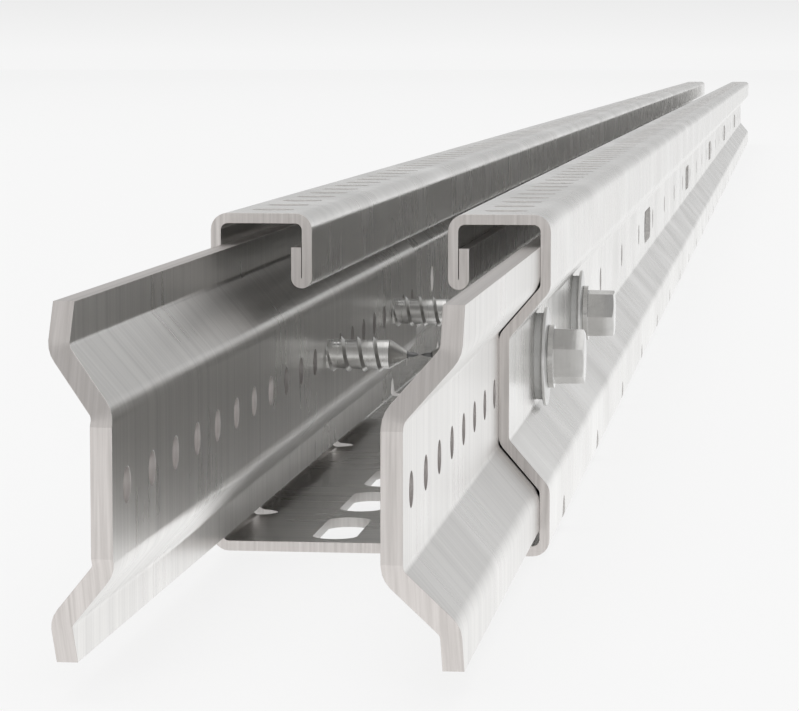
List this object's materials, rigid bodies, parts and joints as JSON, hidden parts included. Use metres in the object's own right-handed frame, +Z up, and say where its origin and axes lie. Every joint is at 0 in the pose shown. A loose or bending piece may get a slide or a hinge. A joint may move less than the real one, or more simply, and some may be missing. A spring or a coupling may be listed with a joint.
{
  "type": "solar mounting rail",
  "caption": "Long perforated roll-formed steel mounting rail with a waisted channel section, two splice connector plates projecting from one end, and hexagon-head self-drilling screws.",
  "frame": {"origin": "middle of the assembly's bounding box, at the level of the rail's underside", "axes": "+Y along the rail from the connector end to the plain end, +Z up through the slotted top, +X across to the right seen from the connector end"},
  "size_m": [0.0536, 2.215, 0.05],
  "materials": {
    "rail_steel": "brushed, satin",
    "connector_steel": "brushed, satin",
    "screw_steel": "brushed, satin",
    "washer_steel": "brushed, satin",
    "seal_rubber": "matt grey"
  },
  "bodies": {
    "root": {"rail": "rail_steel", "connector_left": "connector_steel", "connector_right": "connector_steel", "screw_right_near": "screw_steel", "washer_right_near": "washer_steel", "seal_right_near": "seal_rubber", "screw_right_far": "screw_steel", "washer_right_far": "washer_steel", "seal_right_far": "seal_rubber", "screw_left_near": "screw_steel", "washer_left_near": "washer_steel", "seal_left_near": "seal_rubber", "screw_left_far": "screw_steel", "washer_left_far": "washer_steel", "seal_left_far": "seal_rubber"}
  },
  "joints": []
}
